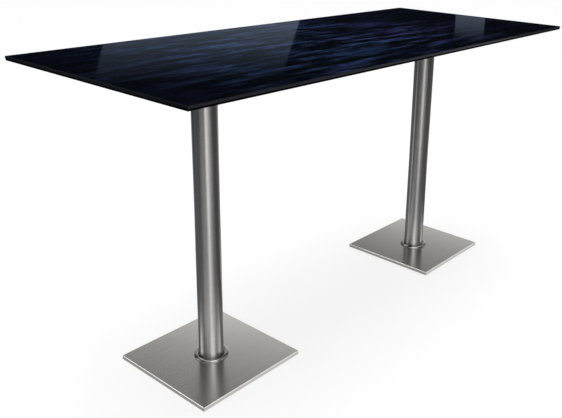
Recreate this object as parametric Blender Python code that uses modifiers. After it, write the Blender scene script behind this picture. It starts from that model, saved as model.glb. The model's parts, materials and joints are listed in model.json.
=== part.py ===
"""High table: a glass top on two round columns, each on its own square stainless base.

Metres, +Z up. The origin is on the floor under the middle of the top, and X runs along the top.
"""
import math

import bmesh
import bpy

# Clearances
GAP = 0.0003
MERGE = 0.00001
CUT_OVERRUN = 0.001

# The top
TABLE_HEIGHT = 1.100
TOP_LENGTH = 2.150
TOP_WIDTH = 0.900
GLASS_THICKNESS = 0.008
GLASS_CORNER_RADIUS = 0.002
GLASS_ARRIS = 0.0007
CARRIER_THICKNESS = 0.006
CARRIER_SETBACK = 0.001
CARRIER_CHAMFER = 0.001

# The columns
COLUMN_INSET = 0.425
TUBE_DIAMETER = 0.0889
TUBE_WALL = 0.002
COLLAR_DIAMETER = 0.124
COLLAR_HEIGHT = 0.008
COLLAR_RIM = 0.0015

# The head plates under the top
HEAD_SIDE = 0.320
HEAD_THICKNESS = 0.006
HEAD_CORNER_RADIUS = 0.020
HEAD_EDGE_CHAMFER = 0.0008
HEAD_HUB_DEPTH = 0.022
HEAD_RECESS_DIAMETER = 0.030
HEAD_RECESS_DEPTH = 0.016
BOLT_SPACING = 0.260

# Countersunk bolts and their nuts
BOLT_DIAMETER = 0.006
BOLT_HEAD_DIAMETER = 0.012
BOLT_PROUD = 0.002
BOLT_NUT_WIDTH = 0.010
BOLT_NUT_HEIGHT = 0.005

# The tie rods with their nuts and washers
ROD_DIAMETER = 0.010
ROD_PROUD = 0.0025
ROD_FOOT_INSET = 0.001
ROD_NUT_WIDTH = 0.017
ROD_NUT_HEIGHT = 0.0084
WASHER_DIAMETER = 0.020
WASHER_THICKNESS = 0.002
THREAD_END_CHAMFER = 0.0008

# The foot hubs
HUB_HEIGHT = 0.014
HUB_SPIGOT_DIAMETER = 0.070
HUB_LEAD_CHAMFER = 0.002

# The bases
BASE_SIDE = 0.450
COVER_SHEET = 0.0015
COVER_BEND_RADIUS = 0.002
COVER_FLOOR_GAP = 0.002
COVER_SIDE_CLEARANCE = 0.0006
BALLAST_THICKNESS = 0.008
BALLAST_CORNER_RADIUS = 0.003
BALLAST_EDGE_CHAMFER = 0.001

# The levelling glides
GLIDE_INSET = 0.040
GLIDE_THREAD_DIAMETER = 0.008
GLIDE_DISC_DIAMETER = 0.022
GLIDE_DISC_THICKNESS = 0.002
PAD_FLOOR = 0.0036
PAD_WALL = 0.0027
PAD_EDGE = 0.0006
PAD_RIM_DROP = 0.0005

# Sides of the round pieces
COLUMN_SIDES = 48
HUB_SIDES = 32
PAD_SIDES = 16
BORE_SIDES = 16
COLLAR_ARC_STEPS = 8
CORNER_STEPS = 3
SHARP_ANGLE = math.radians(35)

# Heights, from the floor up
disc_low = PAD_FLOOR + GAP
disc_high = disc_low + GLIDE_DISC_THICKNESS
ballast_low = disc_high + GAP
ballast_high = ballast_low + BALLAST_THICKNESS
cover_high = ballast_high + GAP + COVER_SHEET
column_low = cover_high + GAP
hub_high = column_low + HUB_HEIGHT

# Heights, from the top down
glass_low = TABLE_HEIGHT - GLASS_THICKNESS
carrier_high = glass_low - GAP
carrier_low = carrier_high - CARRIER_THICKNESS
head_high = carrier_low - GAP
head_low = head_high - HEAD_THICKNESS
column_high = head_low - GAP
recess_floor = head_high - HEAD_RECESS_DEPTH
washer_low = recess_floor + GAP
head_nut_low = washer_low + WASHER_THICKNESS + GAP
rod_high = head_nut_low + ROD_NUT_HEIGHT + ROD_PROUD
rod_low = ballast_low + ROD_FOOT_INSET

# Radii that follow from what fits into what
tube_outer = TUBE_DIAMETER / 2
tube_inner = tube_outer - TUBE_WALL
plug_radius = tube_inner - GAP
rod_bore = ROD_DIAMETER / 2 + GAP
bolt_bore = BOLT_DIAMETER / 2 + GAP
glide_bore = GLIDE_THREAD_DIAMETER / 2 + GAP
cover_bore = HUB_SPIGOT_DIAMETER / 2 + GAP


def clear_scene():
    for item in list(bpy.data.objects):
        bpy.data.objects.remove(item, do_unlink=True)


def new_collection(name):
    made = bpy.data.collections.new(name)
    bpy.context.scene.collection.children.link(made)
    return made


def finish(name, colour, roughness, metallic):
    """A Principled material with one colour."""
    made = bpy.data.materials.new(name)
    made.use_nodes = True
    shader = made.node_tree.nodes["Principled BSDF"]
    shader.inputs["Base Color"].default_value = (*colour, 1.0)
    shader.inputs["Roughness"].default_value = roughness
    shader.inputs["Metallic"].default_value = metallic
    return made


clear_scene()
parts = new_collection("high_table")
cutters = new_collection("cutters")

glass = finish("dark_glass", (0.008, 0.010, 0.022), 0.04, 0.0)
laminate = finish("black_laminate", (0.012, 0.012, 0.014), 0.35, 0.0)
brushed = finish("brushed_stainless", (0.50, 0.49, 0.47), 0.30, 1.0)
polished = finish("polished_stainless", (0.62, 0.61, 0.59), 0.12, 1.0)
coated = finish("black_coated_steel", (0.025, 0.025, 0.027), 0.50, 0.0)
zinc = finish("zinc_plated_steel", (0.55, 0.56, 0.58), 0.38, 1.0)
plastic = finish("black_plastic", (0.020, 0.020, 0.021), 0.55, 0.0)


def add_piece(name, mesh, material, parent, location):
    """One sub-part, with its origin where it seats."""
    item = bpy.data.objects.new(name, mesh)
    parts.objects.link(item)
    if not mesh.materials:
        mesh.materials.append(material)
    item.parent = parent
    item.location = location
    return item


def add_cutter(name, mesh, parent, location):
    """A shape that only takes part in a Boolean."""
    item = bpy.data.objects.new(name, mesh)
    cutters.objects.link(item)
    item.parent = parent
    item.location = location
    item.hide_render = True
    item.display_type = "WIRE"
    return item


def combine(target, tool, operation):
    step = target.modifiers.new(tool.name, "BOOLEAN")
    step.operation = operation
    step.solver = "EXACT"
    step.object = tool


def settled_mesh(item, name):
    """The evaluated mesh of a working object, which is removed."""
    seen = item.evaluated_get(bpy.context.evaluated_depsgraph_get())
    mesh = bpy.data.meshes.new_from_object(seen)
    mesh.name = name
    bpy.data.objects.remove(item, do_unlink=True)
    mesh.shade_smooth()
    mesh.set_sharp_from_angle(angle=SHARP_ANGLE)
    return mesh


def turned_mesh(name, profile, sides, bored):
    """A profile of (radius, height) points, down the outer side, turned about Z.

    A bored profile is a closed loop. Any other starts and ends on the axis.
    """
    count = len(profile)
    edges = [(index, index + 1) for index in range(count - 1)]
    if bored:
        edges.append((count - 1, 0))
    line = bpy.data.meshes.new(name + "_profile")
    line.from_pydata([(radius, 0.0, height) for radius, height in profile], edges, [])
    item = bpy.data.objects.new(name + "_profile", line)
    parts.objects.link(item)
    turn = item.modifiers.new("turn", "SCREW")
    turn.axis = "Z"
    turn.angle = 2 * math.pi
    turn.steps = sides
    turn.render_steps = sides
    turn.use_merge_vertices = True
    turn.merge_threshold = MERGE
    return settled_mesh(item, name)


def rod_profile(radius, low, high, chamfer):
    """A plain round bar with chamfered ends."""
    return [
        (0.0, high),
        (radius - chamfer, high),
        (radius, high - chamfer),
        (radius, low + chamfer),
        (radius - chamfer, low),
        (0.0, low),
    ]


def drill_mesh(name, radius, low, high):
    """A plain cylinder that runs past both faces of what it drills."""
    profile = [
        (0.0, high + CUT_OVERRUN),
        (radius, high + CUT_OVERRUN),
        (radius, low - CUT_OVERRUN),
        (0.0, low - CUT_OVERRUN),
    ]
    return turned_mesh(name, profile, BORE_SIDES, False)


def plate_mesh(name, length, width, thickness, corner_radius):
    """A flat plate on its lower face, with round upright corners."""
    work = bmesh.new()
    bmesh.ops.create_cube(work, size=1.0)
    bmesh.ops.scale(work, vec=(length, width, thickness), verts=work.verts)
    bmesh.ops.translate(work, vec=(0.0, 0.0, thickness / 2), verts=work.verts)
    upright = [edge for edge in work.edges if abs(edge.verts[0].co.z - edge.verts[1].co.z) > thickness / 2]
    bmesh.ops.bevel(
        work, geom=upright, offset=corner_radius, segments=CORNER_STEPS, profile=0.5, affect="EDGES"
    )
    mesh = bpy.data.meshes.new(name)
    work.to_mesh(mesh)
    work.free()
    mesh.shade_smooth()
    mesh.set_sharp_from_angle(angle=SHARP_ANGLE)
    return mesh


def soften_edges(item, width, steps):
    """Bevel the square edges only, not the facets of round corners."""
    bevel = item.modifiers.new("edges", "BEVEL")
    bevel.width = width
    bevel.segments = steps
    bevel.limit_method = "ANGLE"
    bevel.angle_limit = math.radians(60)


def nut_mesh(name, width, height, bore):
    """A hexagon nut on its lower face, with a plain bore."""
    work = bmesh.new()
    corner = width / math.sqrt(3)
    bmesh.ops.create_cone(work, cap_ends=True, segments=6, radius1=corner, radius2=corner, depth=height)
    bmesh.ops.translate(work, vec=(0.0, 0.0, height / 2), verts=work.verts)
    blank = bpy.data.meshes.new(name + "_blank")
    work.to_mesh(blank)
    work.free()
    item = bpy.data.objects.new(name + "_blank", blank)
    parts.objects.link(item)
    drill = add_cutter(name + "_drill", drill_mesh(name + "_drill", bore, 0.0, height), None, (0, 0, 0))
    combine(item, drill, "DIFFERENCE")
    mesh = settled_mesh(item, name)
    bpy.data.objects.remove(drill, do_unlink=True)
    return mesh


def corner_places(spacing):
    """The four corners of a square, counted from the front left one."""
    half = spacing / 2
    return [(-half, -half), (half, -half), (half, half), (-half, half)]


# Levelling glides: a disc-headed screw up into the ballast plate, in a pad on the floor

def glide_stud_mesh():
    """The screw, from the underside of its disc. The thread is a plain bar."""
    disc = GLIDE_DISC_DIAMETER / 2
    thread = GLIDE_THREAD_DIAMETER / 2
    high = ballast_high - GAP - disc_low
    profile = [
        (0.0, high),
        (thread - THREAD_END_CHAMFER, high),
        (thread, high - THREAD_END_CHAMFER),
        (thread, GLIDE_DISC_THICKNESS),
        (disc, GLIDE_DISC_THICKNESS),
        (disc, 0.0),
        (0.0, 0.0),
    ]
    return turned_mesh("glide_stud", profile, BORE_SIDES, False)


def glide_pad_mesh():
    """The pad, a cup that holds the disc, from the floor."""
    inner = GLIDE_DISC_DIAMETER / 2 + GAP
    outer = inner + PAD_WALL
    rim = disc_high - PAD_RIM_DROP
    profile = [
        (0.0, PAD_FLOOR),
        (inner, PAD_FLOOR),
        (inner, rim),
        (outer - PAD_EDGE, rim),
        (outer, rim - PAD_EDGE),
        (outer, PAD_EDGE),
        (outer - PAD_EDGE, 0.0),
        (0.0, 0.0),
    ]
    return turned_mesh("glide_pad", profile, PAD_SIDES, False)


# Bases: a ballast plate under a folded cover

def add_ballast_plate(side, pedestal):
    """The heavy plate, tapped in its middle for the tie rod and in its corners for the glides."""
    length = BASE_SIDE - 2 * (COVER_SHEET + COVER_SIDE_CLEARANCE)
    mesh = plate_mesh(side + "_ballast_plate", length, length, BALLAST_THICKNESS, BALLAST_CORNER_RADIUS)
    plate = add_piece(side + "_ballast_plate", mesh, coated, pedestal, (0, 0, ballast_low))
    soften_edges(plate, BALLAST_EDGE_CHAMFER, 1)
    rod_drill = drill_mesh(side + "_ballast_rod_drill", rod_bore, 0.0, BALLAST_THICKNESS)
    tool = add_cutter(side + "_ballast_rod_drill", rod_drill, pedestal, (0, 0, ballast_low))
    combine(plate, tool, "DIFFERENCE")
    glide_drill = drill_mesh(side + "_glide_drill", glide_bore, 0.0, BALLAST_THICKNESS)
    for number, (x, y) in enumerate(corner_places(BASE_SIDE - 2 * GLIDE_INSET), start=1):
        tool = add_cutter(f"{side}_glide_drill_{number}", glide_drill, pedestal, (x, y, ballast_low))
        combine(plate, tool, "DIFFERENCE")


def add_base_cover(side, pedestal):
    """A tray of thin sheet, upside down: a square face with four folded skirts and a round hole."""
    depth = cover_high - COVER_FLOOR_GAP
    work = bmesh.new()
    bmesh.ops.create_cube(work, size=1.0)
    bmesh.ops.scale(work, vec=(BASE_SIDE, BASE_SIDE, depth), verts=work.verts)
    bmesh.ops.translate(work, vec=(0.0, 0.0, depth / 2), verts=work.verts)
    underside = min(work.faces, key=lambda face: face.calc_center_median().z)
    bmesh.ops.delete(work, geom=[underside], context="FACES_ONLY")
    mesh = bpy.data.meshes.new(side + "_base_cover")
    work.to_mesh(mesh)
    work.free()
    cover = add_piece(side + "_base_cover", mesh, brushed, pedestal, (0, 0, COVER_FLOOR_GAP))
    soften_edges(cover, COVER_BEND_RADIUS, CORNER_STEPS)
    sheet = cover.modifiers.new("sheet", "SOLIDIFY")
    sheet.thickness = COVER_SHEET
    sheet.offset = -1.0
    sheet.use_even_offset = True
    profile = [
        (0.0, depth + CUT_OVERRUN),
        (cover_bore, depth + CUT_OVERRUN),
        (cover_bore, depth - COVER_SHEET - CUT_OVERRUN),
        (0.0, depth - COVER_SHEET - CUT_OVERRUN),
    ]
    hole = turned_mesh(side + "_cover_hole", profile, HUB_SIDES, False)
    tool = add_cutter(side + "_cover_hole", hole, pedestal, (0, 0, COVER_FLOOR_GAP))
    combine(cover, tool, "DIFFERENCE")


# Columns: a tube between two hubs, pulled down by a tie rod

def add_foot_hub(side, pedestal):
    """A turned disc inside the tube, with a spigot through the cover."""
    spigot = HUB_SPIGOT_DIAMETER / 2
    spigot_depth = column_low - ballast_high - 2 * GAP
    profile = [
        (rod_bore, HUB_HEIGHT),
        (plug_radius - HUB_LEAD_CHAMFER, HUB_HEIGHT),
        (plug_radius, HUB_HEIGHT - HUB_LEAD_CHAMFER),
        (plug_radius, 0.0),
        (spigot, 0.0),
        (spigot, -spigot_depth),
        (rod_bore, -spigot_depth),
    ]
    mesh = turned_mesh(side + "_foot_hub", profile, HUB_SIDES, True)
    add_piece(side + "_foot_hub", mesh, zinc, pedestal, (0, 0, column_low))


def add_column_tube(side, pedestal):
    length = column_high - column_low
    profile = [(tube_inner, length), (tube_outer, length), (tube_outer, 0.0), (tube_inner, 0.0)]
    mesh = turned_mesh(side + "_column_tube", profile, COLUMN_SIDES, True)
    add_piece(side + "_column_tube", mesh, brushed, pedestal, (0, 0, column_low))


def add_collar_ring(side, pedestal):
    """A half-round ring on a short upright rim, which slides down the tube onto the cover."""
    inner = tube_outer + GAP
    outer = COLLAR_DIAMETER / 2
    middle = (inner + outer) / 2
    half_width = (outer - inner) / 2
    crown = COLLAR_HEIGHT - COLLAR_RIM
    profile = []
    for step in range(COLLAR_ARC_STEPS + 1):
        angle = math.pi * (1 - step / COLLAR_ARC_STEPS)
        profile.append((middle + half_width * math.cos(angle), COLLAR_RIM + crown * math.sin(angle)))
    profile.append((outer, 0.0))
    profile.append((inner, 0.0))
    mesh = turned_mesh(side + "_collar_ring", profile, COLUMN_SIDES, True)
    add_piece(side + "_collar_ring", mesh, polished, pedestal, (0, 0, column_low))


def add_head_plate(side, pedestal):
    """A square plate with a welded hub below, recessed from above for the tie rod's nut."""
    mesh = plate_mesh(side + "_head_plate", HEAD_SIDE, HEAD_SIDE, HEAD_THICKNESS, HEAD_CORNER_RADIUS)
    plate = add_piece(side + "_head_plate", mesh, coated, pedestal, (0, 0, head_low))
    soften_edges(plate, HEAD_EDGE_CHAMFER, 1)
    weld_depth = HEAD_THICKNESS / 2
    hub = [
        (0.0, weld_depth),
        (plug_radius, weld_depth),
        (plug_radius, HUB_LEAD_CHAMFER - HEAD_HUB_DEPTH),
        (plug_radius - HUB_LEAD_CHAMFER, -HEAD_HUB_DEPTH),
        (0.0, -HEAD_HUB_DEPTH),
    ]
    hub_tool = turned_mesh(side + "_head_hub", hub, HUB_SIDES, False)
    tool = add_cutter(side + "_head_hub", hub_tool, pedestal, (0, 0, head_low))
    combine(plate, tool, "UNION")
    recess_radius = HEAD_RECESS_DIAMETER / 2
    recess_low = HEAD_THICKNESS - HEAD_RECESS_DEPTH
    recess = [
        (0.0, HEAD_THICKNESS + CUT_OVERRUN),
        (recess_radius, HEAD_THICKNESS + CUT_OVERRUN),
        (recess_radius, recess_low),
        (rod_bore, recess_low),
        (rod_bore, -HEAD_HUB_DEPTH - CUT_OVERRUN),
        (0.0, -HEAD_HUB_DEPTH - CUT_OVERRUN),
    ]
    recess_tool = turned_mesh(side + "_head_recess", recess, BORE_SIDES, False)
    tool = add_cutter(side + "_head_recess", recess_tool, pedestal, (0, 0, head_low))
    combine(plate, tool, "DIFFERENCE")
    bolt_drill = drill_mesh(side + "_head_bolt_drill", bolt_bore, 0.0, HEAD_THICKNESS)
    for number, (x, y) in enumerate(corner_places(BOLT_SPACING), start=1):
        tool = add_cutter(f"{side}_head_bolt_drill_{number}", bolt_drill, pedestal, (x, y, head_low))
        combine(plate, tool, "DIFFERENCE")


def add_tie_rod(side, pedestal, nut, washer):
    """The rod, screwed into the ballast plate, with its lock nut at the foot and its clamp nut on top."""
    length = rod_high - rod_low
    profile = rod_profile(ROD_DIAMETER / 2, 0.0, length, THREAD_END_CHAMFER)
    mesh = turned_mesh(side + "_tie_rod", profile, BORE_SIDES, False)
    add_piece(side + "_tie_rod", mesh, zinc, pedestal, (0, 0, rod_low))
    add_piece(side + "_foot_nut", nut, zinc, pedestal, (0, 0, hub_high + GAP))
    add_piece(side + "_head_washer", washer, zinc, pedestal, (0, 0, washer_low))
    add_piece(side + "_head_nut", nut, zinc, pedestal, (0, 0, head_nut_low))


def washer_mesh():
    outer = WASHER_DIAMETER / 2
    profile = [
        (rod_bore, WASHER_THICKNESS),
        (outer, WASHER_THICKNESS),
        (outer, 0.0),
        (rod_bore, 0.0),
    ]
    return turned_mesh("rod_washer", profile, BORE_SIDES, True)


# The top: glass bonded to a carrier board, which the countersunk bolts go through

bolt_head_radius = BOLT_HEAD_DIAMETER / 2
bolt_head_high = carrier_high - GAP
bolt_nut_low = head_low - GAP - BOLT_NUT_HEIGHT
bolt_low = bolt_nut_low - BOLT_PROUD


def bolt_mesh():
    """A countersunk bolt with a right-angled cone, from its lower end."""
    shank = BOLT_DIAMETER / 2
    length = bolt_head_high - bolt_low
    profile = [
        (0.0, length),
        (bolt_head_radius, length),
        (shank, length - (bolt_head_radius - shank)),
        (shank, THREAD_END_CHAMFER),
        (shank - THREAD_END_CHAMFER, 0.0),
        (0.0, 0.0),
    ]
    return turned_mesh("top_bolt", profile, BORE_SIDES, False)


def countersink_mesh():
    """The cutter for one bolt in the carrier board, a gap wider than the bolt all round."""
    mouth = bolt_head_radius + GAP * math.sqrt(2) + (carrier_high - bolt_head_high)
    profile = [
        (0.0, CARRIER_THICKNESS + CUT_OVERRUN),
        (mouth, CARRIER_THICKNESS + CUT_OVERRUN),
        (mouth, CARRIER_THICKNESS),
        (bolt_bore, CARRIER_THICKNESS - (mouth - bolt_bore)),
        (bolt_bore, -CUT_OVERRUN),
        (0.0, -CUT_OVERRUN),
    ]
    return turned_mesh("countersink", profile, BORE_SIDES, False)


def add_top(pedestals):
    top = bpy.data.objects.new("top", None)
    parts.objects.link(top)
    top.location = (0, 0, carrier_low)

    glass_mesh = plate_mesh("glass_top", TOP_LENGTH, TOP_WIDTH, GLASS_THICKNESS, GLASS_CORNER_RADIUS)
    sheet = add_piece("glass_top", glass_mesh, glass, top, (0, 0, glass_low - carrier_low))
    soften_edges(sheet, GLASS_ARRIS, 1)

    length = TOP_LENGTH - 2 * CARRIER_SETBACK
    width = TOP_WIDTH - 2 * CARRIER_SETBACK
    corner = GLASS_CORNER_RADIUS
    board_mesh = plate_mesh("carrier_board", length, width, CARRIER_THICKNESS, corner)
    board = add_piece("carrier_board", board_mesh, laminate, top, (0, 0, 0))
    soften_edges(board, CARRIER_CHAMFER, 1)

    countersink = countersink_mesh()
    for side, pedestal in pedestals.items():
        for number, (x, y) in enumerate(corner_places(BOLT_SPACING), start=1):
            tool = add_cutter(f"{side}_countersink_{number}", countersink, pedestal, (x, y, carrier_low))
            combine(board, tool, "DIFFERENCE")


def add_pedestal(side, pedestal, shared):
    add_ballast_plate(side, pedestal)
    add_base_cover(side, pedestal)
    add_foot_hub(side, pedestal)
    add_column_tube(side, pedestal)
    add_collar_ring(side, pedestal)
    add_head_plate(side, pedestal)
    add_tie_rod(side, pedestal, shared["rod_nut"], shared["washer"])
    for number, (x, y) in enumerate(corner_places(BOLT_SPACING), start=1):
        add_piece(f"{side}_top_bolt_{number}", shared["bolt"], zinc, pedestal, (x, y, bolt_low))
        add_piece(f"{side}_top_nut_{number}", shared["bolt_nut"], zinc, pedestal, (x, y, bolt_nut_low))
    for number, (x, y) in enumerate(corner_places(BASE_SIDE - 2 * GLIDE_INSET), start=1):
        add_piece(f"{side}_glide_stud_{number}", shared["glide_stud"], zinc, pedestal, (x, y, disc_low))
        add_piece(f"{side}_glide_pad_{number}", shared["glide_pad"], plastic, pedestal, (x, y, 0))


def main():
    column_x = TOP_LENGTH / 2 - COLUMN_INSET
    pedestals = {}
    for side, x in (("left", -column_x), ("right", column_x)):
        pedestal = bpy.data.objects.new(side + "_pedestal", None)
        parts.objects.link(pedestal)
        pedestal.location = (x, 0, 0)
        pedestals[side] = pedestal
    shared = {
        "rod_nut": nut_mesh("rod_nut", ROD_NUT_WIDTH, ROD_NUT_HEIGHT, rod_bore),
        "washer": washer_mesh(),
        "bolt": bolt_mesh(),
        "bolt_nut": nut_mesh("bolt_nut", BOLT_NUT_WIDTH, BOLT_NUT_HEIGHT, bolt_bore),
        "glide_stud": glide_stud_mesh(),
        "glide_pad": glide_pad_mesh(),
    }
    for side, pedestal in pedestals.items():
        add_pedestal(side, pedestal, shared)
    add_top(pedestals)


main()
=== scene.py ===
"""Looks of the high table: finishes, smooth turned pieces, floor, studio light and camera."""
import json
import math

import bmesh
import bpy
from mathutils import Matrix, Vector

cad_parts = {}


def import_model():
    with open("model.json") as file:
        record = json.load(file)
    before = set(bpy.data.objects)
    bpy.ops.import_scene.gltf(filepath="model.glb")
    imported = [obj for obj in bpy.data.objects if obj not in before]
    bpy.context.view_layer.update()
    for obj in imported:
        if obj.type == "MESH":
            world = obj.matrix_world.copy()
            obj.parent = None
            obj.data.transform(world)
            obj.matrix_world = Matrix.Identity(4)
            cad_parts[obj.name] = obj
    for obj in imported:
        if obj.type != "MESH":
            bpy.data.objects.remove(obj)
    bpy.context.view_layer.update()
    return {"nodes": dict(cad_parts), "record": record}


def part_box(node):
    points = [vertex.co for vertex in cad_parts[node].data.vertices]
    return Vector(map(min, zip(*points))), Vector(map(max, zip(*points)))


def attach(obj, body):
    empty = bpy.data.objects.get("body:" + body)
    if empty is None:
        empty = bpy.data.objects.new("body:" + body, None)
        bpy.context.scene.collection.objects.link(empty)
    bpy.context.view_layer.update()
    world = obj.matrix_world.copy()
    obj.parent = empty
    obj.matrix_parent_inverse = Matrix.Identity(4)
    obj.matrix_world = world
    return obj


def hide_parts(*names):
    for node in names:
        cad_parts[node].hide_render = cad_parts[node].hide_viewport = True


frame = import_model()
nodes = frame["nodes"]
SIDES = ("left", "right")

# Turned pieces
TUBE_WALL = 0.002
COLLAR_CLEARANCE = 0.0003
COLLAR_RIM = 0.0015
COLUMN_SIDES = 192
COLLAR_ARC_STEPS = 28
SHARP_ANGLE = math.radians(32)

# Glass sheet and its print
PRINT_GROUND = (0.0012, 0.0016, 0.0034)
STREAK_BLUE = (0.034, 0.072, 0.185)
STREAK_VIOLET = (0.044, 0.050, 0.165)
STREAK_GAIN = 2.4
PRINT_SPECK = (0.020, 0.012, 0.018)
GLASS_CORNER = 0.002
GLASS_CORNER_STEPS = 6
GLASS_ARRIS = 0.0008
ARRIS_STEPS = 4

# Steel
HAIRLINE_DEPTH = 0.00005
STEEL_CLOUD = (0.9, 0.9, 0.9)
STEEL_CLOUD_SHARE = 0.10
TUBE_ANISOTROPY = 0.92
TUBE_ROTATION = 0.25

# Noise lies mostly between these values
NOISE_LOW = 0.3
NOISE_HIGH = 0.7

# Camera, as fitted to the photograph
IMAGE_WIDTH = 562
SENSOR_WIDTH = 36.0
FOCAL_PIXELS = 731.5
CAMERA_PLACE = (-2.163, -1.820, 1.540)
CAMERA_YAW = 0.8856
CAMERA_PITCH = 0.3043
CAMERA_ROLL = 0.0287
CAMERA_SHIFT_PIXELS = (60.0, -60.0)

# Floor, world and overhead light
FLOOR_SIZE = 60.0
FLOOR_DROP = 0.0005
FLOOR_COLOUR = (0.86, 0.86, 0.86)
FLOOR_SHOWN = (0.42, 0.42, 0.42)
FLOOR_LIFT = 0.74
WORLD_LEVEL = 0.58
OVERHEAD_PLACE = (0.2, 0.2, 3.6)
OVERHEAD_TARGET = (0.2, 0.2, 0)
OVERHEAD_SIZE = (3.6, 2.6)
OVERHEAD_POWER = 62

# Far wall, by height
MIDDLE = (0, 0)
WALL_RADIUS = 8.0
FAR_WALL_HEIGHT = (1.12, 9.0)
FAR_WALL_STEPS = (120, 64)
FAR_WALL_TONES = [
    (3.5, (0.003, 0.004, 0.006)),
    (4.2, (0.42, 0.43, 0.43)),
]
PANE_RADIUS = WALL_RADIUS - 0.02
PANE_FOOT = 1.13
LARGE_PANE_TURN = (29.1, 48.4)
LARGE_PANE_LEAN = 4.0
LARGE_PANE_TONES = [
    (2.05, (0.135, 0.165, 0.215)),
    (2.45, (0.058, 0.075, 0.098)),
    (2.75, (0.018, 0.024, 0.034)),
    (2.95, (0.004, 0.006, 0.010)),
]
SMALL_PANE_TURN = (62.7, 65.7)
SMALL_PANE_LEAN = 0.15
SMALL_PANE_TONES = [
    (1.95, (0.095, 0.12, 0.155)),
    (2.06, (0.07, 0.09, 0.125)),
    (2.26, (0.004, 0.005, 0.008)),
]

# Studio walls, by degrees from +Y towards +X; the camera stands in the opening
STUDIO_RADIUS = 2.4
NEAR_WALL_TOP = 1.26
SIDE_WALL_TOP = 1.7
BACK_WALL_TOP = 1.08
NEAR_WALL_TONES = [
    (-125, (0.30, 0.31, 0.33)),
    (-119, (0.12, 0.13, 0.15)),
    (-100, (0.09, 0.10, 0.12)),
    (-60, (0.15, 0.16, 0.18)),
]
LEFT_WALL_TONES = [
    (-60, (0.15, 0.16, 0.18)),
    (-46, (0.12, 0.13, 0.15)),
    (-40, (0.03, 0.03, 0.04)),
    (-20, (0.03, 0.03, 0.04)),
    (-12, (0.12, 0.12, 0.13)),
]
BACK_WALL_TONES = [
    (-12, (0.12, 0.12, 0.13)),
    (95, (0.15, 0.15, 0.14)),
]
RIGHT_WALL_TONES = [
    (95, (0.15, 0.15, 0.14)),
    (160, (0.13, 0.13, 0.12)),
    (184, (0.13, 0.13, 0.12)),
    (196, (0.26, 0.25, 0.24)),
    (204, (0.60, 0.59, 0.58)),
]

# Painted shade and painted light on the floor round the bases, which only reflections see: grey strips for
# shade beside a base, white ones for lit floor: (part, quarter turns, tone)
STRIP_WIDTH = 0.06
STRIP_GAP = 0.001
STRIP_LEVEL = 0.0008
FLOOR_SHADE_AND_LIGHT_STRIPS = [
    ("back", 0, (0.50, 0.50, 0.48)),
    ("left", 1, (0.50, 0.50, 0.48)),
    ("front", 2, (0.98, 0.97, 0.96)),
    ("right", 3, (0.98, 0.97, 0.96)),
]

# Painted reflection: dark sheets on the floor round a column, which only reflections see, for the column's
# dark flanks: (part, degrees from the camera's side, radii, tone)
PATCH_STEPS = 24
PATCH_LEVEL = 0.0004
PAINTED_REFLECTION_PATCHES = [
    ("left", (52, 178), (0.30, 2.40), (0.19, 0.19, 0.20)),
    ("near_left", (6, 52), (1.85, 2.60), (0.12, 0.12, 0.14)),
    ("outer_right", (-178, -60), (1.40, 2.40), (0.14, 0.14, 0.13)),
    ("right", (-178, -46), (0.24, 0.52), (0.14, 0.14, 0.13)),
    ("far_right", (-125, -22), (0.52, 1.40), (0.10, 0.10, 0.10)),
]

# Cards behind the bases: share by degrees off the camera's line, brightness by level
BASE_CARD_RADIUS = 1.0
BASE_CARD_TURN = (-42, 32)
BASE_CARD_HEIGHT = (0.04, 1.06)
BASE_CARD_STEPS = (36, 16)
BASE_CARD_SHARES = [(-28, (0.60,)), (-4, (1.0,)), (28, (1.2,))]
BASE_CARD_BRIGHTNESS = (1.22, 0.56, 0.28)
BASE_CARD_LEVELS = {"left": (0.30, 0.60, 0.92), "right": (0.20, 0.40, 0.62)}
BASE_CARD_BLUE = 0.98

# Lights that only reflections see: (name, degrees from +Y towards +X, height, radiance, what they reach)
CARD_RADIUS = 5.0
FRONT_LIGHTS = [
    ("broad_light_for_tubes", (-178, -98), (1.2, 6.0), 1.9, "tubes"),
    ("broad_light_for_bases", (-181, -91), (1.2, 6.0), 2.8, "others"),
    ("narrow_high_light", (-150, -136), (2.2, 6.0), 1.8, "tubes"),
    ("narrow_low_light", (-150, -136), (0.0, 2.1), 1.4, "tubes"),
]
RIM_LIGHT_REACH = 1.0
RIM_LIGHT_SIZE = (0.75, 0.75)
RIM_LIGHT_SPREAD = math.radians(56)
RIM_LIGHTS = [
    ("left", Vector((-1, 0, 0)), 4.2),
    ("right", Vector((0, -1, 0)), 3.6),
]
EDGE_LIGHT_OUT = 0.25
EDGE_LIGHT_DOWN = 0.13
EDGE_LIGHT_SIZE = (2.4, 0.24)
EDGE_LIGHT_RADIANCE = 0.72
EDGE_LIGHT_COLOUR = (1.0, 0.97, 1.13)


# Node helpers

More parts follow.
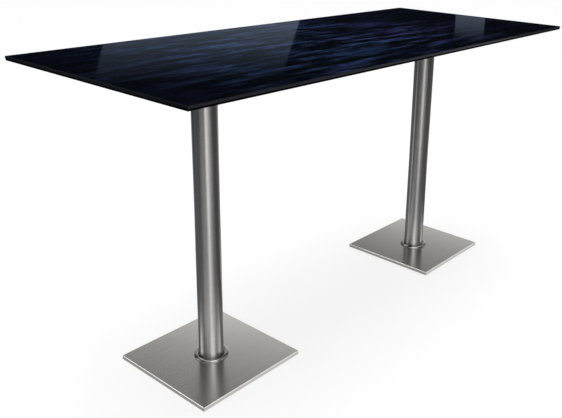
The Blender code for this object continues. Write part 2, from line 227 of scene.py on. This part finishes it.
class Graph:
    """A material's node tree, with short calls for what the finishes share."""

    def __init__(self, name):
        self.material = bpy.data.materials.new(name)
        self.material.use_nodes = True
        self.tree = self.material.node_tree
        self.shader = self.tree.nodes["Principled BSDF"]
        self.output = self.tree.nodes["Material Output"]

    def node(self, kind, **settings):
        made = self.tree.nodes.new(kind)
        for key, value in settings.items():
            setattr(made, key, value)
        return made

    def link(self, source, target):
        self.tree.links.new(source, target)

    def feed(self, source, name):
        """Source into the shader's socket of that name."""
        self.link(source, self.shader.inputs[name])

    def set(self, **values):
        for key, value in values.items():
            self.shader.inputs[key.replace("_", " ")].default_value = value

    def place(self, scale=(1.0, 1.0, 1.0)):
        """Coordinates in metres, stretched by scale."""
        where = self.node("ShaderNodeTexCoord")
        stretch = self.node("ShaderNodeMapping")
        stretch.inputs["Scale"].default_value = scale
        self.link(where.outputs["Object"], stretch.inputs["Vector"])
        return stretch.outputs["Vector"]

    def noise(self, vector, scale, detail=2.0, roughness=0.5):
        made = self.node("ShaderNodeTexNoise")
        made.inputs["Scale"].default_value = scale
        made.inputs["Detail"].default_value = detail
        made.inputs["Roughness"].default_value = roughness
        self.link(vector, made.inputs["Vector"])
        return made.outputs["Fac"]

    def ramp(self, value, dark, light):
        """Colour from dark to light over the usual span of a noise."""
        made = self.node("ShaderNodeValToRGB")
        stops = ((NOISE_LOW, dark), (NOISE_HIGH, light))
        for element, (position, colour) in zip(made.color_ramp.elements, stops):
            element.position = position
            element.color = (*colour, 1.0)
        self.link(value, made.inputs["Fac"])
        return made.outputs["Color"]

    def spread(self, value, low, high, to_low, to_high, smooth=False):
        """Value from low..high to to_low..to_high, held at the ends."""
        made = self.node("ShaderNodeMapRange")
        made.interpolation_type = "SMOOTHSTEP" if smooth else "LINEAR"
        made.clamp = True
        for name, number in (
            ("From Min", low),
            ("From Max", high),
            ("To Min", to_low),
            ("To Max", to_high),
        ):
            made.inputs[name].default_value = number
        self.link(value, made.inputs["Value"])
        return made.outputs["Result"]

    def math(self, operation, first, second):
        made = self.node("ShaderNodeMath", operation=operation)
        for slot, value in enumerate((first, second)):
            if isinstance(value, (int, float)):
                made.inputs[slot].default_value = value
            else:
                self.link(value, made.inputs[slot])
        return made.outputs[0]

    def product(self, first, *others):
        made = first
        for other in others:
            made = self.math("MULTIPLY", made, other)
        return made

    def mix(self, factor, first, second, blend="MIX"):
        made = self.node("ShaderNodeMix", data_type="RGBA", blend_type=blend)
        for name, value in ((0, factor), (6, first), (7, second)):
            if isinstance(value, tuple):
                made.inputs[name].default_value = (*value, 1.0)
            else:
                self.link(value, made.inputs[name])
        return made.outputs[2]

    def bump(self, height, strength, distance):
        made = self.node("ShaderNodeBump")
        made.inputs["Strength"].default_value = strength
        made.inputs["Distance"].default_value = distance
        self.link(height, made.inputs["Height"])
        self.feed(made.outputs["Normal"], "Normal")


# Finishes

def dark_glass():
    """Back-coloured glass: near black, with broken blue streaks along the top."""
    graph = Graph("dark_glass")
    long_streaks = graph.noise(graph.place((1.15, 7.6, 1.0)), 3.0, 5.0, 0.68)
    fine_streaks = graph.noise(graph.place((3.4, 38.0, 1.0)), 3.0, 3.0, 0.6)
    comb = graph.noise(graph.place((34.0, 5.0, 1.0)), 3.0)
    clouds = graph.noise(graph.place((1.0, 1.4, 1.0)), 2.6)
    hues = graph.noise(graph.place((0.8, 2.6, 1.0)), 3.1)
    specks = graph.noise(graph.place((26.0, 70.0, 1.0)), 3.0, 1.0)
    smear = graph.noise(graph.place(), 5.0, 3.0, 0.6)

    # Strongest in the middle of the top
    where = graph.node("ShaderNodeTexCoord")
    split = graph.node("ShaderNodeSeparateXYZ")
    graph.link(where.outputs["Object"], split.inputs[0])
    along = split.outputs["X"]
    left_end = graph.spread(along, -1.05, -0.35, 0.16, 1.0, True)
    right_end = graph.spread(along, 0.15, 0.85, 1.0, 0.14, True)
    front = graph.spread(split.outputs["Y"], -0.46, -0.05, 0.62, 1.0, True)
    middle = graph.product(left_end, right_end, front)

    # Streaks, broken by finer ones, clouds and a cross comb
    wide = graph.spread(long_streaks, 0.45, 0.66, 0.0, 1.0, True)
    fine = graph.spread(fine_streaks, 0.34, 0.66, 0.25, 1.0)
    cloudy = graph.spread(clouds, 0.35, 0.62, 0.30, 1.0)
    combed = graph.spread(comb, 0.38, 0.62, 0.60, 1.0)
    streaks = graph.product(wide, fine, graph.product(cloudy, combed))
    strength = graph.math("MINIMUM", graph.product(streaks, middle, STREAK_GAIN), 1.0)

    # More violet to the right
    violet_end = graph.spread(along, -0.15, 0.35, -0.35, 0.45, True)
    hue = graph.math("ADD", graph.spread(hues, 0.42, 0.58, 0.15, 0.85), violet_end)
    blue = graph.mix(hue, STREAK_BLUE, STREAK_VIOLET)
    inked = graph.mix(strength, PRINT_GROUND, blue)
    speckled = graph.spread(specks, 0.62, 0.70, 0.0, 1.0)
    warm = graph.product(speckled, graph.spread(clouds, 0.45, 0.6, 0.0, 0.8))
    graph.feed(graph.mix(warm, inked, PRINT_SPECK), "Base Color")
    graph.feed(graph.spread(smear, NOISE_LOW, NOISE_HIGH, 0.030, 0.050), "Roughness")
    graph.set(IOR=1.52)
    return graph.material


def grained(name, grain, tones, roughness, bump=None, **settings):
    """A finish of fine grain. Grain is (stretch, noise scale, detail, noise roughness)."""
    graph = Graph(name)
    stretch, *texture = grain
    grains = graph.noise(graph.place(stretch), *texture)
    graph.feed(graph.ramp(grains, *tones), "Base Color")
    graph.feed(graph.spread(grains, NOISE_LOW, NOISE_HIGH, *roughness), "Roughness")
    graph.set(**settings)
    if bump:
        graph.bump(grains, *bump)
    return graph.material


def ground_edge():
    """The glass's ground edge: dark, satin, with faint grinding marks along it."""
    marks = ((20.0, 20.0, 2200.0), 1.0, 2.0, 0.5)
    tones = ((0.002, 0.002, 0.003), (0.004, 0.004, 0.006))
    return grained("ground_glass_edge", marks, tones, (0.20, 0.30), IOR=1.30)


def black_laminate():
    grain = ((1.0, 1.0, 1.0), 900.0, 2.0, 0.5)
    tones = ((0.0015, 0.0015, 0.002), (0.003, 0.003, 0.0035))
    return grained("black_laminate", grain, tones, (0.30, 0.42), (0.15, 0.0001), IOR=1.05)


def coated_steel():
    peel = ((1.0, 1.0, 1.0), 1400.0, 2.0, 0.5)
    tones = ((0.014, 0.014, 0.015), (0.022, 0.022, 0.023))
    return grained("black_coated_steel", peel, tones, (0.42, 0.58), (0.35, 0.0002))


def zinc():
    bloom = ((1.0, 1.0, 1.0), 260.0, 3.0, 0.6)
    tones = ((0.44, 0.46, 0.49), (0.60, 0.60, 0.59))
    return grained("zinc_plated_steel", bloom, tones, (0.28, 0.42), (0.2, 0.0001), Metallic=1.0)


def moulded_plastic():
    grain = ((1.0, 1.0, 1.0), 1800.0, 2.0, 0.5)
    tones = ((0.012, 0.012, 0.013), (0.020, 0.020, 0.021))
    return grained("black_plastic", grain, tones, (0.45, 0.60), (0.25, 0.0001))


def steel(name, tones, roughness, hairline, hairline_bump):
    """Stainless steel whose hairlines run across the stretched axes of the coordinates."""
    graph = Graph(name)
    lines = graph.noise(graph.place(hairline), 1.0, 3.0, 0.65)
    clouds = graph.noise(graph.place(), 6.0)
    cloudy = graph.spread(clouds, NOISE_LOW, NOISE_HIGH, 0.0, STEEL_CLOUD_SHARE)
    colour = graph.mix(cloudy, graph.ramp(lines, *tones), STEEL_CLOUD, "MULTIPLY")
    graph.feed(colour, "Base Color")
    graph.feed(graph.spread(lines, 0.25, 0.75, *roughness), "Roughness")
    graph.set(Metallic=1.0)
    graph.bump(lines, hairline_bump, HAIRLINE_DEPTH)
    return graph


def brushed_stainless():
    tones = ((0.48, 0.47, 0.46), (0.56, 0.55, 0.535))
    return steel("brushed_stainless", tones, (0.19, 0.25), (6.0, 900.0, 900.0), 0.10).material


def polished_stainless():
    # Tones darker than the other stainless steel: painted shade, to make the collar look darker.
    tones = ((0.33, 0.32, 0.31), (0.40, 0.39, 0.38))
    return steel("polished_stainless", tones, (0.13, 0.18), (300.0, 300.0, 2500.0), 0.05).material


def brushed_tube():
    """Steel brushed round the tube, which draws its reflections out along it."""
    tones = ((0.41, 0.40, 0.39), (0.49, 0.48, 0.465))
    graph = steel("brushed_tube", tones, (0.30, 0.38), (40.0, 40.0, 1500.0), 0.08)
    turn = graph.node("ShaderNodeTangent", direction_type="RADIAL", axis="Z")
    graph.feed(turn.outputs[0], "Tangent")
    graph.set(Anisotropic=TUBE_ANISOTROPY, Anisotropic_Rotation=TUBE_ROTATION)
    return graph.material


finishes = {
    "dark_glass": dark_glass(),
    "black_laminate": black_laminate(),
    "brushed_stainless": brushed_stainless(),
    "polished_stainless": polished_stainless(),
    "black_coated_steel": coated_steel(),
    "zinc_plated_steel": zinc(),
    "black_plastic": moulded_plastic(),
}

for entry in frame["record"]["subparts"]:
    mesh = nodes[entry["node"]].data
    mesh.materials.clear()
    mesh.materials.append(finishes[entry["material_slot"]])


# Turned pieces, smooth where the solids are faceted

def corners_of(node):
    return [Vector(corner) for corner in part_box(node)]


def in_scene(item):
    bpy.context.scene.collection.objects.link(item)
    return item


def seated(name, mesh, place, node):
    """A smooth piece of the table, in the place of the solid that it stands for."""
    piece = in_scene(bpy.data.objects.new(name, mesh))
    piece.location = place
    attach(piece, "table")
    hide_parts(node)


def lathe(name, profile, sides, material):
    """A closed loop of (radius, height) points, down the outer side, turned about an upright axis."""
    work = bmesh.new()
    rings = []
    for step in range(sides):
        angle = 2 * math.pi * step / sides
        rings.append([work.verts.new((r * math.cos(angle), r * math.sin(angle), z)) for r, z in profile])
    count = len(profile)
    for step in range(sides):
        ring = rings[step]
        following = rings[(step + 1) % sides]
        for point in range(count):
            after = (point + 1) % count
            work.faces.new((ring[point], ring[after], following[after], following[point]))
    bmesh.ops.recalc_face_normals(work, faces=work.faces)
    mesh = bpy.data.meshes.new(name)
    work.to_mesh(mesh)
    work.free()
    mesh.materials.append(material)
    mesh.shade_smooth()
    mesh.set_sharp_from_angle(angle=SHARP_ANGLE)
    return mesh


def middle_of(node):
    """The node's centre in plan at its lowest height, its radius and its height."""
    low, high = corners_of(node)
    centre = (low + high) / 2
    return Vector((centre.x, centre.y, low.z)), (high.x - low.x) / 2, high.z - low.z


def column_tube(side, material):
    node = side + "_column_tube"
    name = side + "_smooth_tube"
    foot, outer, height = middle_of(node)
    inner = outer - TUBE_WALL
    profile = [(inner, height), (outer, height), (outer, 0.0), (inner, 0.0)]
    seated(name, lathe(name, profile, COLUMN_SIDES, material), foot, node)
    return outer


def collar_ring(side, tube_radius, material):
    node = side + "_collar_ring"
    name = side + "_smooth_collar"
    foot, outer, height = middle_of(node)
    inner = tube_radius + COLLAR_CLEARANCE
    middle = (inner + outer) / 2
    half_width = (outer - inner) / 2
    crown = height - COLLAR_RIM
    profile = []
    for step in range(COLLAR_ARC_STEPS + 1):
        angle = math.pi * (1 - step / COLLAR_ARC_STEPS)
        across = middle + half_width * math.cos(angle)
        profile.append((across, COLLAR_RIM + crown * math.sin(angle)))
    profile += [(outer, 0.0), (inner, 0.0)]
    seated(name, lathe(name, profile, COLUMN_SIDES, material), foot, node)


tube_steel = brushed_tube()
for side in SIDES:
    collar_ring(side, column_tube(side, tube_steel), finishes["polished_stainless"])


# Glass sheet

def glass_outline(work, half, inset, level):
    """A ring of points at one level, round the corners of the sheet."""
    points = []
    turn = GLASS_CORNER - inset
    for corner in range(4):
        side_x = 1 if corner in (0, 3) else -1
        side_y = 1 if corner < 2 else -1
        middle_x = side_x * (half.x - GLASS_CORNER)
        middle_y = side_y * (half.y - GLASS_CORNER)
        for step in range(GLASS_CORNER_STEPS + 1):
            angle = math.pi / 2 * (corner + step / GLASS_CORNER_STEPS)
            across = middle_x + turn * math.cos(angle)
            along = middle_y + turn * math.sin(angle)
            points.append(work.verts.new((across, along, level)))
    return points


def glass_sheet():
    """The glass with round arrises and corners, printed on its top and ground on its edges."""
    low, high = corners_of("glass_top")
    half = (high - low) / 2
    work = bmesh.new()
    angles = [math.pi / 2 * step / ARRIS_STEPS for step in range(ARRIS_STEPS + 1)]
    rings = []
    for angle in angles:
        inset = GLASS_ARRIS * (1 - math.sin(angle))
        rings.append(glass_outline(work, half, inset, -half.z + GLASS_ARRIS * (1 - math.cos(angle))))
    for angle in angles:
        inset = GLASS_ARRIS * (1 - math.cos(angle))
        rings.append(glass_outline(work, half, inset, half.z - GLASS_ARRIS * (1 - math.sin(angle))))
    count = len(rings[0])
    for lower, upper in zip(rings, rings[1:]):
        for point in range(count):
            after = (point + 1) % count
            face = work.faces.new((lower[point], lower[after], upper[after], upper[point]))
            face.material_index = 1
    work.faces.new(rings[-1])
    work.faces.new(list(reversed(rings[0]))).material_index = 1
    mesh = bpy.data.meshes.new("glass_sheet")
    work.to_mesh(mesh)
    work.free()
    mesh.materials.append(finishes["dark_glass"])
    mesh.materials.append(ground_edge())
    for face in mesh.polygons:
        face.use_smooth = len(face.vertices) == 4
    seated("glass_sheet", mesh, (high + low) / 2, "glass_top")


glass_sheet()


# Floor and screens

def staged(name, mesh, material):
    mesh.materials.append(material)
    item = in_scene(bpy.data.objects.new(name, mesh))
    return item


def floor():
    """A pale floor: it takes the table's shadow, and shows white to the camera and in the steel."""
    half = FLOOR_SIZE / 2
    mesh = bpy.data.meshes.new("floor")
    corners = [(-half, -half), (half, -half), (half, half), (-half, half)]
    mesh.from_pydata([(*corner, -FLOOR_DROP) for corner in corners], [], [(0, 1, 2, 3)])
    graph = Graph("pale_floor")
    path = graph.node("ShaderNodeLightPath")
    seen = graph.math("MAXIMUM", path.outputs["Is Camera Ray"], path.outputs["Is Glossy Ray"])
    seen = graph.math("MAXIMUM", seen, path.outputs["Is Transmission Ray"])
    diffuse = graph.node("ShaderNodeBsdfDiffuse")
    graph.link(graph.mix(seen, FLOOR_COLOUR, FLOOR_SHOWN), diffuse.inputs["Color"])
    glow = graph.node("ShaderNodeEmission")
    graph.link(graph.product(seen, FLOOR_LIFT), glow.inputs["Strength"])
    both = graph.node("ShaderNodeAddShader")
    graph.link(diffuse.outputs[0], both.inputs[0])
    graph.link(glow.outputs[0], both.inputs[1])
    graph.link(both.outputs[0], graph.output.inputs["Surface"])
    staged("floor", mesh, graph.material)


def screen_paint():
    """The screens glow in the tone that each point of their mesh carries."""
    graph = Graph("screen_paint")
    tone = graph.node("ShaderNodeAttribute", attribute_name="tone")
    glow = graph.node("ShaderNodeEmission")
    graph.link(tone.outputs["Color"], glow.inputs["Color"])
    graph.link(glow.outputs[0], graph.output.inputs["Surface"])
    return graph.material


SCREEN_PAINT = screen_paint()


def only_reflected(item):
    """Hidden from all but reflections."""
    item.visible_camera = False
    item.visible_diffuse = False
    item.visible_transmission = False
    item.visible_volume_scatter = False


def glowing(name, points, faces, tones):
    """A shape that only reflections see, with one tone for each point."""
    mesh = bpy.data.meshes.new(name)
    mesh.from_pydata(points, [], faces)
    carried = mesh.color_attributes.new("tone", "FLOAT_COLOR", "POINT")
    for point, colour in zip(carried.data, tones):
        point.color = (*colour, 1.0)
    item = staged(name, mesh, SCREEN_PAINT)
    only_reflected(item)
    item.visible_shadow = False


def screen(name, centre, radius, turn, height, tone, steps=(60, 12), lean=0.0):
    """Part of a round wall, between two azimuths. Towards its top it turns back by lean degrees."""
    points = []
    tones = []
    for column in range(steps[0] + 1):
        azimuth = turn[0] + (turn[1] - turn[0]) * column / steps[0]
        for row in range(steps[1] + 1):
            level = height[0] + (height[1] - height[0]) * row / steps[1]
            leant = math.radians(azimuth - lean * row / steps[1])
            across = radius * math.sin(leant)
            along = radius * math.cos(leant)
            points.append((centre[0] + across, centre[1] + along, level))
            tones.append(tone(azimuth, level))
    rows = steps[1] + 1
    faces = []
    for column in range(steps[0]):
        for row in range(steps[1]):
            first = column * rows + row
            faces.append((first, first + rows, first + rows + 1, first + 1))
    glowing(name, points, faces, tones)


def between(value, stops):
    """Colour at value, straight between stops of (value, colour)."""
    if value <= stops[0][0]:
        return stops[0][1]
    for (low, first), (high, second) in zip(stops, stops[1:]):
        if value <= high:
            share = (value - low) / (high - low)
            return tuple(a + (b - a) * share for a, b in zip(first, second))
    return stops[-1][1]


def far_wall():
    """Round the studio: dark at the height that the glass mirrors, grey above, with two window panes."""
    def wall_tone(azimuth, level):
        return between(level, FAR_WALL_TONES)

    screen("far_wall", MIDDLE, WALL_RADIUS, (0, 360), FAR_WALL_HEIGHT, wall_tone, FAR_WALL_STEPS)
    for name, turn, tones, lean in (
        ("large_pane", LARGE_PANE_TURN, LARGE_PANE_TONES, LARGE_PANE_LEAN),
        ("small_pane", SMALL_PANE_TURN, SMALL_PANE_TONES, SMALL_PANE_LEAN),
    ):

        def pane_tone(azimuth, level):
            return between(level, tones)

        height = (PANE_FOOT, tones[-1][0])
        screen(name, MIDDLE, PANE_RADIUS, turn, height, pane_tone, lean=lean)


def studio_walls():
    """Dark walls round the table, open behind the camera, which the columns mirror in their flanks."""
    for name, tones, top in (
        ("near_wall", NEAR_WALL_TONES, NEAR_WALL_TOP),
        ("left_wall", LEFT_WALL_TONES, SIDE_WALL_TOP),
        ("back_wall", BACK_WALL_TONES, BACK_WALL_TOP),
        ("right_wall", RIGHT_WALL_TONES, NEAR_WALL_TOP),
    ):

        def tone(azimuth, level):
            return between(azimuth, tones)

        screen(name, MIDDLE, STUDIO_RADIUS, (tones[0][0], tones[-1][0]), (0.0, top), tone)


def shade_and_light_strips(side):
    """Painted shade and painted light on the floor round a base, which only its skirts' reflections see:
    grey strips of shade on the left and behind, white strips of light on the right.
    """
    low, high = corners_of(side + "_base_cover")
    middle = (low + high) / 2
    inner = (high.x - low.x) / 2 + STRIP_GAP
    outer = inner + STRIP_WIDTH
    for part, quarter, tone in FLOOR_SHADE_AND_LIGHT_STRIPS:
        turned = Matrix.Rotation(math.pi / 2 * quarter, 2)
        points = []
        for corner in ((-inner, inner), (inner, inner), (outer, outer), (-outer, outer)):
            place = turned @ Vector(corner)
            points.append((middle.x + place.x, middle.y + place.y, STRIP_LEVEL))
        glowing(f"{side}_{part}_strip", points, [(0, 1, 2, 3)], [tone] * len(points))


def painted_reflection_patches(side):
    """Painted reflection: grey sheets on the floor, which only reflections see, that the foot of a column
    mirrors in its flanks.
    """
    foot = middle_of(side + "_column_tube")[0]
    towards = math.degrees(math.atan2(CAMERA_PLACE[0] - foot.x, CAMERA_PLACE[1] - foot.y))
    for part, turn, radii, tone in PAINTED_REFLECTION_PATCHES:
        points = []
        for step in range(PATCH_STEPS + 1):
            azimuth = math.radians(towards + turn[0] + (turn[1] - turn[0]) * step / PATCH_STEPS)
            for radius in radii:
                across = radius * math.sin(azimuth)
                along = radius * math.cos(azimuth)
                points.append((foot.x + across, foot.y + along, PATCH_LEVEL))
        faces = []
        for first in range(0, 2 * PATCH_STEPS, 2):
            faces.append((first, first + 1, first + 3, first + 2))
        glowing(f"{side}_floor_patch_{part}", points, faces, [tone] * len(points))


def base_card(side):
    """Behind a base: brighter low down and to the right, so the plate shades as it does in daylight."""
    foot = middle_of(side + "_column_tube")[0]
    away = math.degrees(math.atan2(foot.x - CAMERA_PLACE[0], foot.y - CAMERA_PLACE[1]))
    fade = [(level, (bright,)) for level, bright in zip(BASE_CARD_LEVELS[side], BASE_CARD_BRIGHTNESS)]

    def tone(azimuth, level):
        share = between(azimuth - away, BASE_CARD_SHARES)[0]
        bright = between(level, fade)[0]
        return (share * bright, share * bright, share * bright * BASE_CARD_BLUE)

    turn = (away + BASE_CARD_TURN[0], away + BASE_CARD_TURN[1])
    place = (foot.x, foot.y)
    screen(side + "_base_card", place, BASE_CARD_RADIUS, turn, BASE_CARD_HEIGHT, tone, BASE_CARD_STEPS)


# Lights

def area_light(name, place, target, size, power):
    data = bpy.data.lights.new(name, "AREA")
    data.shape = "RECTANGLE"
    data.size, data.size_y = size
    data.energy = power
    item = in_scene(bpy.data.objects.new(name, data))
    item.location = place
    item.rotation_euler = (Vector(target) - Vector(place)).to_track_quat("-Z", "Y").to_euler()
    return item


def overhead_softbox():
    item = area_light("overhead_softbox", OVERHEAD_PLACE, OVERHEAD_TARGET, OVERHEAD_SIZE, OVERHEAD_POWER)
    item.visible_glossy = False


def reached(name, pieces, state):
    """The pieces that a light reaches alone (INCLUDE) or leaves out (EXCLUDE)."""
    group = bpy.data.collections.new(name)
    for piece in pieces:
        group.objects.link(bpy.data.objects[piece])
    for entry in group.collection_objects:
        entry.light_linking.link_state = state
    return group


def mirrored_light(name, place, target, size, radiance, group):
    """A soft light of one radiance that only reflections see, on what its group lets it reach."""
    item = area_light(name, place, target, size, radiance * math.pi * size[0] * size[1])
    only_reflected(item)
    item.light_linking.receiver_collection = group
    return item


def front_lights():
    """Behind the camera: broad ones high up, and narrow ones that draw the columns' bright lines."""
    tubes = [side + "_smooth_tube" for side in SIDES]
    groups = {
        "tubes": reached("tubes", tubes, "INCLUDE"),
        "others": reached("all_but_glass_and_tubes", ["glass_sheet"] + tubes, "EXCLUDE"),
    }
    for name, turn, height, radiance, group in FRONT_LIGHTS:
        middle = math.radians((turn[0] + turn[1]) / 2)
        width = 2 * CARD_RADIUS * math.tan(math.radians(turn[1] - turn[0]) / 2)
        level = (height[0] + height[1]) / 2
        place = (CARD_RADIUS * math.sin(middle), CARD_RADIUS * math.cos(middle), level)
        size = (width, height[1] - height[0])
        mirrored_light(name, place, (*MIDDLE, level), size, radiance, groups[group])


def rim_lights():
    """A narrow beam on each near rim of a base, from where the rim's bend mirrors it to the camera."""
    on_bases = reached("bases", [side + "_base_cover" for side in SIDES], "INCLUDE")
    half = RIM_LIGHT_SPREAD / 2
    for side in SIDES:
        low, high = corners_of(side + "_base_cover")
        centre = (low + high) / 2
        for part, outward, radiance in RIM_LIGHTS:
            rim_x = centre.x + outward.x * (high.x - centre.x)
            rim_y = centre.y + outward.y * (high.y - centre.y)
            rim = Vector((rim_x, rim_y, high.z))
            bend = (outward + Vector((0, 0, 1))).normalized()
            sight = (rim - Vector(CAMERA_PLACE)).normalized()
            mirrored = sight - 2 * sight.dot(bend) * bend
            place = rim + mirrored * RIM_LIGHT_REACH
            name = f"{side}_{part}_rim_light"
            item = mirrored_light(name, place, rim, RIM_LIGHT_SIZE, radiance, on_bases)
            item.data.spread = RIM_LIGHT_SPREAD
            item.data.energy *= 1 - half / math.tan(half)


def front_edge_light():
    """A strip beside the top's long front edge, below its surface, which only the edge mirrors."""
    on_top = reached("top", ["glass_sheet", "carrier_board"], "INCLUDE")
    low, high = corners_of("carrier_board")
    place = Vector((0.0, low.y - EDGE_LIGHT_OUT, high.z - EDGE_LIGHT_DOWN))
    target = place + Vector((0, 1, 0))
    item = mirrored_light("front_edge_light", place, target, EDGE_LIGHT_SIZE, EDGE_LIGHT_RADIANCE, on_top)
    item.data.color = EDGE_LIGHT_COLOUR


def world():
    """Daylight all round, which shows white to the camera and in reflections."""
    made = bpy.data.worlds.new("studio")
    made.use_nodes = True
    tree = made.node_tree
    back = tree.nodes["Background"]
    back.inputs["Color"].default_value = (1.0, 1.0, 1.0, 1.0)
    path = tree.nodes.new("ShaderNodeLightPath")
    seen = path.outputs["Is Camera Ray"]
    for ray in ("Is Glossy Ray", "Is Transmission Ray"):
        either = tree.nodes.new("ShaderNodeMath")
        either.operation = "MAXIMUM"
        tree.links.new(seen, either.inputs[0])
        tree.links.new(path.outputs[ray], either.inputs[1])
        seen = either.outputs[0]
    level = tree.nodes.new("ShaderNodeMapRange")
    level.inputs["To Min"].default_value = WORLD_LEVEL
    tree.links.new(seen, level.inputs["Value"])
    tree.links.new(level.outputs["Result"], back.inputs["Strength"])
    bpy.context.scene.world = made


def camera():
    flat = math.cos(CAMERA_PITCH)
    forward = Vector((math.sin(CAMERA_YAW) * flat, math.cos(CAMERA_YAW) * flat, -math.sin(CAMERA_PITCH)))
    level = Vector((math.cos(CAMERA_YAW), -math.sin(CAMERA_YAW), 0.0))
    upright = level.cross(forward)
    right = level * math.cos(CAMERA_ROLL) + upright * math.sin(CAMERA_ROLL)
    up = upright * math.cos(CAMERA_ROLL) - level * math.sin(CAMERA_ROLL)
    data = bpy.data.cameras.new("camera")
    data.sensor_width = SENSOR_WIDTH
    data.sensor_fit = "HORIZONTAL"
    data.lens = SENSOR_WIDTH * FOCAL_PIXELS / IMAGE_WIDTH
    data.shift_x = -CAMERA_SHIFT_PIXELS[0] / IMAGE_WIDTH
    data.shift_y = CAMERA_SHIFT_PIXELS[1] / IMAGE_WIDTH
    item = in_scene(bpy.data.objects.new("camera", data))
    rotation = Matrix((right, up, -forward)).transposed()
    item.matrix_world = Matrix.Translation(CAMERA_PLACE) @ rotation.to_4x4()
    bpy.context.scene.camera = item


floor()
far_wall()
studio_walls()
for side in SIDES:
    shade_and_light_strips(side)
    painted_reflection_patches(side)
    base_card(side)
world()
overhead_softbox()
front_lights()
rim_lights()
front_edge_light()
camera()
bpy.context.scene.view_settings.view_transform = "Standard"
